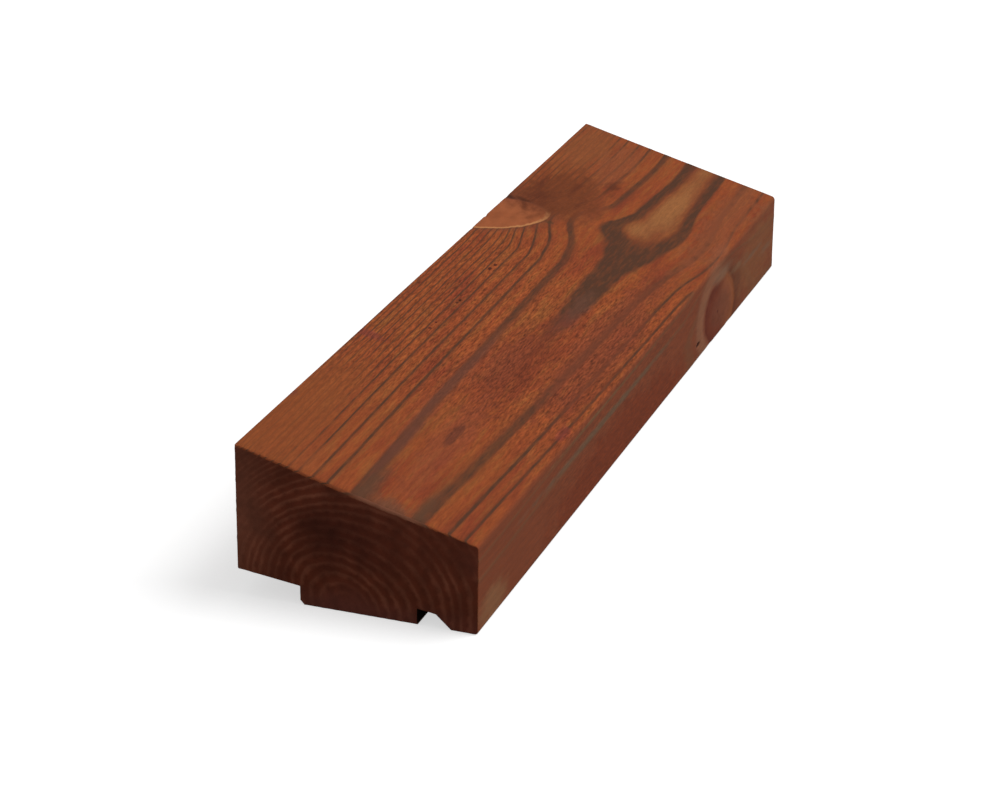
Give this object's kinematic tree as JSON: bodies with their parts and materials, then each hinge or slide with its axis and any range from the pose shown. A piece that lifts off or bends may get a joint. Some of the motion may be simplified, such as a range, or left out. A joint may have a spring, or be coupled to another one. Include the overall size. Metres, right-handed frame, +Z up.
{
  "type": "drip board",
  "caption": "Length of brown-stained softwood drip board with a sloping weathered top, a rebate under its back edge and a drip groove behind its nose.",
  "frame": {"origin": "middle of the board's plan, on the plane that its tongue and nose rest on", "axes": "+X along the length, +Y towards the back face, +Z up, so the weather face looks to -Y"},
  "size_m": [0.3, 0.07, 0.0448],
  "materials": {
    "stained_pine": "planed pine under a thin red-brown stain, matt"
  },
  "bodies": {
    "root": {"drip_board": "stained_pine"}
  },
  "joints": []
}
